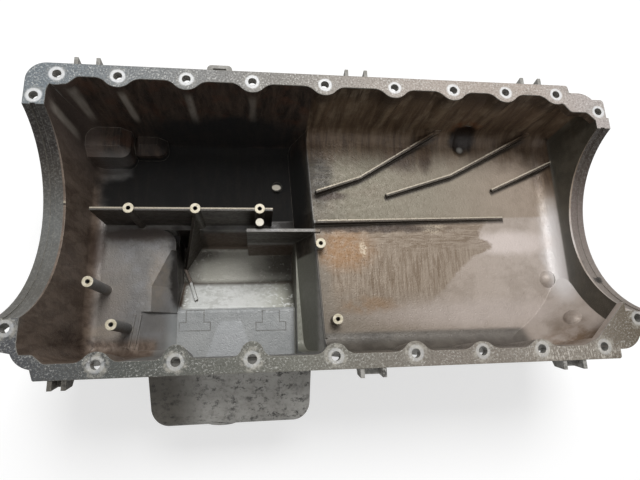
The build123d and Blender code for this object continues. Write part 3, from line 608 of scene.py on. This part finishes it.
def shelf_colour(g, n):
    """The sump's shelf: bluish grey, with brown walls, a dark rim of painted shade, painted shade
    in a corner, and rusty patches that are partly a painted highlight.
    """
    colour = g.mix(g.ramp(n.cloud, 0.3, 0.7), srgb(104, 102, 100), srgb(124, 121, 117))
    colour = g.tint(g.ramp(n.patch, 0.45, 0.7), 0.4, colour, srgb(134, 134, 137))
    worn = g.blob((-262, -80, -155), (22, 60, 12), 0.6, n.ragged)
    colour = g.tint(worn, 0.5, colour, srgb(128, 118, 108))
    wall = g.union(
        g.ramp(g.x, -268, -282), g.both(g.ramp(g.y, -112, -126), g.ramp(g.x, -196, -206)),
    )
    film = g.noise(9, detail=5, rough=0.7, stretch=(1.0, 1.0, 0.3), twist=0.6)
    brown = g.mix(g.ramp(film, 0.35, 0.65), srgb(88, 72, 60), srgb(124, 108, 95))
    colour = g.tint(wall, 0.9, colour, brown)
    # painted shade in the corner between the end and lower walls
    corner = g.blob((-282, -126, -110), (26, 26, 50), 0.4, n.frayed)
    corner = g.both(corner, g.ramp(film, 0.3, 0.55, 1.0, 0.4))
    colour = g.tint(corner, 0.85, colour, srgb(48, 36, 30))
    # painted shade along the spine's foot and the left wall
    colour = g.tint(g.union(*g.blobs(SHELF_RIM_SHADE, n.frayed)), 0.75, colour, srgb(58, 44, 36))
    # rusty patches, partly a painted highlight
    rust_and_highlight = g.union(*g.blobs(SHELF_RUST_AND_HIGHLIGHT, n.frayed))
    rust_and_highlight = g.both(rust_and_highlight, g.ramp(n.fine, 0.3, 0.6, 0.4, 1.0))
    return g.tint(rust_and_highlight, 0.3, colour, srgb(158, 142, 122))


def kick_out_colour(g, n, colour):
    """The kick-out's floor, the trough with painted shade at its ends, and the slope between them,
    near white, mostly painted light.
    """
    floor = g.both(g.ramp(g.z, -172, -182), g.ramp(g.y, -72, -80))
    grey = g.mix(g.ramp(n.cloud, 0.3, 0.7), srgb(136, 138, 138), srgb(156, 157, 156))
    colour = g.mix(floor, colour, grey)
    deep = g.both(g.ramp(g.x, -180, -178), g.ramp(g.z, -160, -170), g.ramp(g.y, -78, -74))
    colour = g.mix(deep, colour, g.grade(g.z, TROUGH_WALL))
    bottom = g.both(g.ramp(g.z, -222, -228), g.ramp(g.nz, 0.8, 0.95))
    # the trough's floor, darker at both ends in painted shade
    colour = g.mix(bottom, colour, g.grade(g.x, TROUGH_FLOOR))
    # dirt, and painted shade under the fin and by the back wall
    grime_and_shade = g.union(*g.blobs(TROUGH_GRIME_AND_SHADE, n.frayed))
    grime_and_shade = g.both(bottom, grime_and_shade, g.ramp(n.fine, 0.25, 0.6, 0.5, 1.0))
    colour = g.tint(grime_and_shade, 0.8, colour, srgb(58, 50, 42))
    colour = g.tint(g.both(bottom, g.ramp(n.fine, 0.55, 0.68)), 0.5, colour, srgb(196, 195, 186))
    slope = g.both(
        g.ramp(g.z, -183, -187), g.ramp(g.z, -230, -222), g.ramp(g.y, -34, -42),
        g.ramp(g.nz, 0.4, 0.6), g.ramp(g.nz, 0.92, 0.84), g.ramp(g.x, -178, -172),
    )
    # painted light: the slope near white, darker at its ends in painted shade
    colour = g.mix(slope, colour, g.grade(g.x, SLOPE_LIT_AND_SHADED))
    cloud = g.both(slope, g.ramp(n.patch, 0.56, 0.42), g.ramp(n.fine, 0.6, 0.42))
    colour = g.tint(cloud, 0.4, colour, srgb(184, 184, 175))
    colour = g.tint(g.both(slope, g.ramp(n.fine, 0.52, 0.62)), 0.8, colour, srgb(250, 251, 248))
    worn = g.both(g.ramp(n.grain, 0.6, 0.7), g.ramp(n.patch, 0.45, 0.65), slope)
    colour = g.tint(worn, 0.5, colour, srgb(112, 108, 98))
    # a dried patch on the floor, narrower towards its front
    front = g.ramp(g.y, -95, -98)
    beside = g.math("ABSOLUTE", g.math("ADD", g.x, -DRIED_X))
    spread = g.math("ADD", beside, g.math("MULTIPLY", g.y, DRIED_TAPER))
    dried = g.both(floor, front, g.ramp(spread, -20, -24))
    return g.tint(dried, 0.55, colour, srgb(168, 170, 172))


def plates_colour(g, n, colour):
    """The sump's right wall, and the ribs, web and fin that stand in the sump, with painted shade
    on their faces and a painted highlight along the spine's top.
    """
    right = g.both(g.ramp(g.x, -28, -23), g.ramp(g.z, -104, -108))
    wall = g.grade(g.z, SUMP_WALL)
    back = g.both(g.ramp(g.y, -20, 8), g.ramp(n.patch, 0.3, 0.6, 0.6, 1.0))
    colour = g.mix(right, colour, g.tint(back, 0.8, wall, srgb(54, 46, 38)))
    upright = g.both(
        g.ramp(g.z, -158, -150), g.ramp(g.x, -274, -268), g.ramp(g.y, 33, 31),
        g.ramp(g.y, -22, -18), g.ramp(g.x, -2, -10), g.ramp(g.nz, 0.9, 0.7),
    )
    lean = g.both(
        g.ramp(g.x, -182, -178), g.ramp(g.x, -144, -148), g.ramp(g.y, 31, 27),
        g.ramp(g.y, -24, -20), g.ramp(g.nz, 0.9, 0.7),
    )
    # painted shade on the faces of the spine, web and fin
    streak = g.noise(8, detail=5, rough=0.7, stretch=(0.2, 1.0, 1.0), twist=0.5)
    plate_shade = g.mix(g.ramp(streak, 0.35, 0.65), srgb(36, 31, 26), srgb(64, 57, 49))
    colour = g.tint(g.union(upright, lean), 0.95, colour, plate_shade)
    # painted highlight on the spine top's half towards the lamp, and painted shade on its other
    # half
    lit_crest = g.both(
        g.ramp(g.z, -89.5, -88.5), g.ramp(g.nz, 0.6, 0.9), g.ramp(g.y, 31.5, 31),
        g.ramp(g.y, 26.5, 27),
    )
    line = g.mix(g.ramp(g.y, 29.4, 28.8), srgb(168, 158, 140), srgb(40, 36, 32))
    return g.tint(lit_crest, 0.85, colour, line)


def old_oil_and_shade(g, n, colour):
    """Black old oil in the sump's upper corner, partly painted shadow of the upper wall, with
    duller brown on the wall above it; also painted highlights on the bolt ridges, painted shade
    beside the web and behind the fin, and a painted glint.

    Returns the colour and the mask of the old oil and its painted shadow.
    """
    oil_and_shadow_mask = g.union(
        *g.blobs(OLD_OIL_AND_SHADOW, n.ragged),
        g.both(g.ramp(g.y, 31, 34), g.ramp(g.z, -140, -150), g.ramp(g.x, -256, -236)),
    )
    haze = g.both(g.ramp(g.y, 100, 116), g.ramp(g.z, -152, -146))
    run = g.noise(8, detail=6, rough=0.72, stretch=(1.0, 0.2, 0.2), twist=0.4)
    dull = g.mix(g.ramp(run, 0.34, 0.66), srgb(36, 29, 25), srgb(86, 72, 62))
    colour = g.tint(haze, 0.95, colour, dull)
    rusty = g.both(haze, g.ramp(n.patch, 0.5, 0.66))
    colour = g.tint(rusty, 0.4, colour, srgb(92, 60, 44))
    left = g.both(g.ramp(g.x, -258, -276), g.ramp(g.y, 60, 110))
    colour = g.tint(left, 0.7, colour, srgb(98, 88, 82))
    # painted highlight on the bolt ridges
    ridge_highlight = g.both(
        bolt_ridges(g), g.ramp(run, 0.3, 0.6, 0.5, 1.0), g.ramp(g.x, -60, -200, 0.45, 1.0),
    )
    colour = g.tint(ridge_highlight, 0.9, colour, srgb(168, 160, 150))
    # dark old oil, deepened as painted shadow of the upper wall
    oil_and_shadow_pool = g.both(oil_and_shadow_mask, g.ramp(g.z, -30, -75))
    tar_and_shadow = g.mix(g.ramp(run, 0.4, 0.8), srgb(4, 4, 4), srgb(22, 18, 15))
    colour = g.tint(oil_and_shadow_pool, 0.96, colour, tar_and_shadow)
    # painted shade in the narrow space beside the web
    gap_shade = g.union(*g.blobs(TROUGH_GAP_SHADE, n.frayed))
    colour = g.tint(gap_shade, 0.85, colour, srgb(26, 21, 18))
    # painted shade in the hollow behind the fin
    nook_shade = g.both(
        g.ramp(g.x, -62, -58), g.ramp(g.y, 6, 9), g.ramp(g.y, 34, 31), g.ramp(g.z, -100, -104),
        g.ramp(g.x, -22, -24),
    )
    colour = g.tint(nook_shade, 0.9, colour, srgb(24, 20, 17))
    # a painted glint on a small boss in the oil, and the bright top of a post
    pale = g.union(
        g.blob((-49, 80, -150), (6, 4, 3), 0.2), g.blob((-72, 14, -92), (5.2, 5.2, 1.5), 0.05),
    )
    return g.tint(pale, 0.9, colour, srgb(206, 200, 186)), oil_and_shadow_mask


def sump_colour(g, n):
    """The sump: bluish grey floors, brown walls, old oil, and painted light and shade.

    Returns the colour and the mask of the old oil and its painted shadow.
    """
    colour = shelf_colour(g, n)
    colour = kick_out_colour(g, n, colour)
    colour = plates_colour(g, n, colour)
    return old_oil_and_shade(g, n, colour)


def face_colour(g, n):
    """The gasket face: bluish and darker on the left, warmer on the right, the darkening partly a
    painted fall-off of the light; bright round the holes, from wear and from a painted highlight in
    place of their chamfers.
    """
    upper = g.grade(g.x, FACE_UPPER)
    lower = g.grade(g.x, FACE_LOWER)
    colour = g.mix(g.ramp(g.y, -30, 30), lower, upper)
    pit = g.noise(2.2, detail=5, rough=0.8, at=g.vec("ADD", g.pos, (50, 0, 0)))
    colour = g.tint(g.ramp(n.grain, 0.4, 0.75), 0.4, colour, srgb(94, 90, 82))
    bright = g.both(
        g.ramp(pit, 0.53, 0.6), g.ramp(n.patch, 0.35, 0.6, 0.3, 1.0),
        g.ramp(g.y, -120, 120, 0.6, 1.0),
    )
    colour = g.tint(bright, 0.75, colour, srgb(212, 211, 206))
    colour = g.tint(g.ramp(pit, 0.44, 0.36), 0.65, colour, srgb(66, 62, 57))
    colour = g.tint(g.ramp(n.patch, 0.52, 0.74), 0.3, colour, srgb(96, 93, 86))
    from_hole = g.wander(g.nearest(UPPER_HOLES + LOWER_HOLES + END_HOLES), n.patch, 4.0)
    # bright rings round the holes: wear, and a painted highlight in place of their chamfers
    ring = g.both(g.ramp(from_hole, 8.8, 6.6), g.ramp(g.y, -160, 140, 0.4, 0.95))
    colour = g.tint(ring, 0.85, colour, srgb(222, 223, 224))
    dust = g.both(
        g.ramp(from_hole, 13.0, 9.5), g.ramp(n.fine, 0.4, 0.6), g.ramp(g.y, 0, -140, 0.3, 0.8),
    )
    colour = g.tint(dust, 0.6, colour, srgb(178, 174, 164))
    scratched = g.blob((250, -150, 0), (60, 10, 4), 0.5, n.frayed)
    scratch = g.noise(1.6, detail=3, rough=0.7, stretch=(1.0, 0.25, 1.0))
    scratched = g.both(scratched, g.ramp(scratch, 0.5, 0.62))
    colour = g.tint(scratched, 0.6, colour, srgb(212, 206, 196))
    crack = g.both(g.blob((-220, -141, 0), (9, 6, 4), 0.3, n.frayed), g.ramp(n.fine, 0.5, 0.42))
    return g.tint(crack, 0.7, colour, srgb(60, 58, 56))


def saddle_colour(g, n):
    """The machined seats of the crank seals, dull with a darker top end of painted shade."""
    left = g.grade(g.y, LEFT_SEAT)
    right = g.grade(g.y, RIGHT_SEAT)
    colour = g.mix(g.ramp(g.x, 0, 50), left, right)
    colour = g.tint(g.ramp(n.grain, 0.45, 0.7), 0.35, colour, srgb(150, 148, 143))
    colour = g.tint(g.ramp(n.patch, 0.5, 0.7), 0.4, colour, srgb(78, 74, 68))
    chip = g.blob((331, -66, -50), (7, 7, 4), 0.3, n.frayed)
    return g.tint(chip, 0.85, colour, srgb(24, 22, 21))


def cast_marks(g, n, up):
    """1 on the thin T-shaped lines in the kick-out's floor."""
    lines = None
    for cx, cy in CAST_MARKS:
        outline = None
        for offset, half in MARK_STROKES:
            local = g.vec("ABSOLUTE", g.vec("SUBTRACT", g.pos, (cx, cy + offset, 0)))
            split = g.new("ShaderNodeSeparateXYZ")
            g.link(g.vec("SUBTRACT", local, half), split.inputs[0])
            edge = g.math("MAXIMUM", split.outputs[0], split.outputs[1])
            outline = edge if outline is None else g.math("MINIMUM", outline, edge)
        mark = g.ramp(g.math("ABSOLUTE", outline), 0.3, 1.1, 1.0, 0.0)
        lines = mark if lines is None else g.union(lines, mark)
    return g.both(
        lines, g.ramp(g.z, -183, -184.5), g.ramp(g.z, -186.5, -185.5), up,
        g.ramp(n.patch, 0.3, 0.5, 0.3, 1.0),
    )


def casting_material():
    """One material for the whole casting. Its graph is near the size that Cycles can hold."""
    g = Graph("cast_aluminium_used")
    n = Noises(g)

    # where we are on the casting
    up = g.ramp(g.nz, 0.9, 0.97)
    top = g.both(up, g.ramp(g.z, -0.8, -0.3))
    inside = inside_mask(g)
    from_crank = g.vec("MULTIPLY", g.vec("SUBTRACT", g.pos, CRANK_LINE), (0, 1, 1))
    ends = g.union(g.ramp(g.x, -288.5, -289.5), g.ramp(g.x, 323.5, 324.5))
    saddle = g.both(g.ramp(g.vec("LENGTH", from_crank), SEAT_RADIUS + 1, SEAT_RADIUS - 1), ends)

    # oil-wetted inside, bare outside
    lip = g.math("ADD", g.x, g.math("MULTIPLY", g.y, LIP_SLANT))
    sump, oil_and_shadow_mask = sump_colour(g, n)
    wet = g.mix(g.ramp(lip, -4.5, -1.5), sump, tray_colour(g, n))
    colour = g.mix(inside, bare_casting(g, n), wet)
    colour = g.tint(cast_marks(g, n, up), 0.6, colour, srgb(70, 66, 58))

    # machined faces
    colour = g.mix(saddle, colour, saddle_colour(g, n))
    colour = g.mix(top, colour, face_colour(g, n))
    post_top = g.both(up, g.ramp(g.z, -86.5, -85.5), g.ramp(g.nearest(POSTS), 6.6, 6.2))
    polished = g.mix(g.ramp(n.fine, 0.3, 0.6), srgb(168, 158, 132), srgb(212, 204, 184))
    colour = g.mix(post_top, colour, polished)

    # worn edges, painted lighter: wear, and a painted highlight where the edges catch the light
    bevel = g.new("ShaderNodeBevel")
    bevel.samples = EDGE_SAMPLES
    bevel.inputs["Radius"].default_value = EDGE_RADIUS
    geo = g.new("ShaderNodeNewGeometry")
    edge = g.vec("DOT_PRODUCT", bevel.outputs[0], geo.outputs["True Normal"])
    edge = g.ramp(edge, 0.99, 0.82)
    worn = g.both(edge, g.ramp(n.fine, 0.35, 0.6, 0.3, 0.9))
    colour = g.tint(worn, 0.4, colour, srgb(188, 182, 168))

    # gloss
    bare = g.ramp(n.fine, 0.3, 0.7, 0.5, 0.7)
    oiled = g.ramp(n.fine, 0.3, 0.7, 0.3, 0.5)
    rough = g.lerp(inside, bare, oiled)
    rough = g.lerp(g.both(oil_and_shadow_mask, inside), rough, OLD_OIL_ROUGH)
    rough = g.lerp(top, rough, g.ramp(n.grain, 0.3, 0.7, 0.42, 0.6))
    metal = g.lerp(top, METAL, METAL_FACE)

    # surface relief
    normal = g.bump(n.grain, GRAIN_DEPTH, bevel.outputs[0])
    normal = g.bump(n.fine, CAST_DEPTH, normal, g.lerp(inside, 1.0, WET_RELIEF))
    pits = g.ramp(g.cells(PIT_SPACING), 0.0, 0.28, 1.0, 0.0)
    normal = g.bump(pits, PIT_DEPTH, normal)
    return g.finish(colour, rough, metal, normal)


# ------------------------------------------------------------------ light and floor
LAMP_AIM = (0, 0, -0.1)         # m
WORLD_LIGHT = 0.3
FLOOR_REACH = 4.0               # m from the middle to an edge
FLOOR_LIGHTS = (0.7, 0.7, 0.7)  # the floor, for the light it throws back up at the casting
FLOOR_SEEN = (0.5, 0.5, 0.5)    # the floor as seen: this keeps the shadow
FLOOR_LIFT = 0.58               # and this glow brings it near white


def area_light(name, at, size, power):
    """A soft square lamp; place and size in metres, power in watts."""
    data = bpy.data.lights.new(name, "AREA")
    data.shape = "SQUARE"
    data.size = size
    data.energy = power
    lamp = bpy.data.objects.new(name, data)
    bpy.context.scene.collection.objects.link(lamp)
    lamp.location = at
    direction = Vector(LAMP_AIM) - Vector(at)
    lamp.rotation_euler = direction.to_track_quat("-Z", "Y").to_euler()


def background(tree, strength):
    """White light of a given strength."""
    node = tree.nodes.new("ShaderNodeBackground")
    node.inputs["Color"].default_value = (1, 1, 1, 1)
    node.inputs["Strength"].default_value = strength
    return node.outputs[0]


def seen_rays(tree):
    """1 for camera, glossy and transmission rays: those that see the white background."""
    path = tree.nodes.new("ShaderNodeLightPath")
    seen = path.outputs["Is Camera Ray"]
    for ray in ("Is Glossy Ray", "Is Transmission Ray"):
        more = tree.nodes.new("ShaderNodeMath")
        more.operation = "MAXIMUM"
        tree.links.new(seen, more.inputs[0])
        tree.links.new(path.outputs[ray], more.inputs[1])
        seen = more.outputs[0]
    return seen


def make_world():
    """Dim light from all round; the camera and reflections see white."""
    world = bpy.data.worlds.new("studio")
    bpy.context.scene.world = world
    world.use_nodes = True
    tree = world.node_tree
    tree.nodes.clear()
    out = tree.nodes.new("ShaderNodeOutputWorld")
    mix = tree.nodes.new("ShaderNodeMixShader")
    tree.links.new(seen_rays(tree), mix.inputs[0])
    tree.links.new(background(tree, WORLD_LIGHT), mix.inputs[1])
    tree.links.new(background(tree, 1.0), mix.inputs[2])
    tree.links.new(mix.outputs[0], out.inputs["Surface"])


def make_floor():
    """A pale floor that keeps the shadow; where it is seen it is lifted towards white."""
    low = CAD_BOX[0][2]
    r = FLOOR_REACH
    mesh = bpy.data.meshes.new("floor")
    mesh.from_pydata([(-r, -r, low), (r, -r, low), (r, r, low), (-r, r, low)], [], [(0, 1, 2, 3)])
    floor = bpy.data.objects.new("floor", mesh)
    bpy.context.scene.collection.objects.link(floor)
    mat = bpy.data.materials.new("floor_white")
    mat.use_nodes = True
    tree = mat.node_tree
    tree.nodes.clear()
    out = tree.nodes.new("ShaderNodeOutputMaterial")
    plain = tree.nodes.new("ShaderNodeBsdfDiffuse")
    plain.inputs["Color"].default_value = (*FLOOR_LIGHTS, 1)
    soft = tree.nodes.new("ShaderNodeBsdfDiffuse")
    soft.inputs["Color"].default_value = (*FLOOR_SEEN, 1)
    lift = tree.nodes.new("ShaderNodeEmission")
    lift.inputs["Strength"].default_value = FLOOR_LIFT
    add = tree.nodes.new("ShaderNodeAddShader")
    mix = tree.nodes.new("ShaderNodeMixShader")
    tree.links.new(soft.outputs[0], add.inputs[0])
    tree.links.new(lift.outputs[0], add.inputs[1])
    tree.links.new(seen_rays(tree), mix.inputs[0])
    tree.links.new(plain.outputs[0], mix.inputs[1])
    tree.links.new(add.outputs[0], mix.inputs[2])
    tree.links.new(mix.outputs[0], out.inputs["Surface"])
    mesh.materials.append(mat)


def main():
    make_camera()
    bpy.context.scene.view_settings.view_transform = "Standard"
    mat = casting_material()
    PAN.data.materials.clear()
    PAN.data.materials.append(mat)
    make_floor()
    make_world()
    area_light("ceiling", at=(0.1, 0.8, 1.9), size=0.8, power=35)
    area_light("fill", at=(0.2, -1.0, 1.8), size=1.6, power=4)


main()
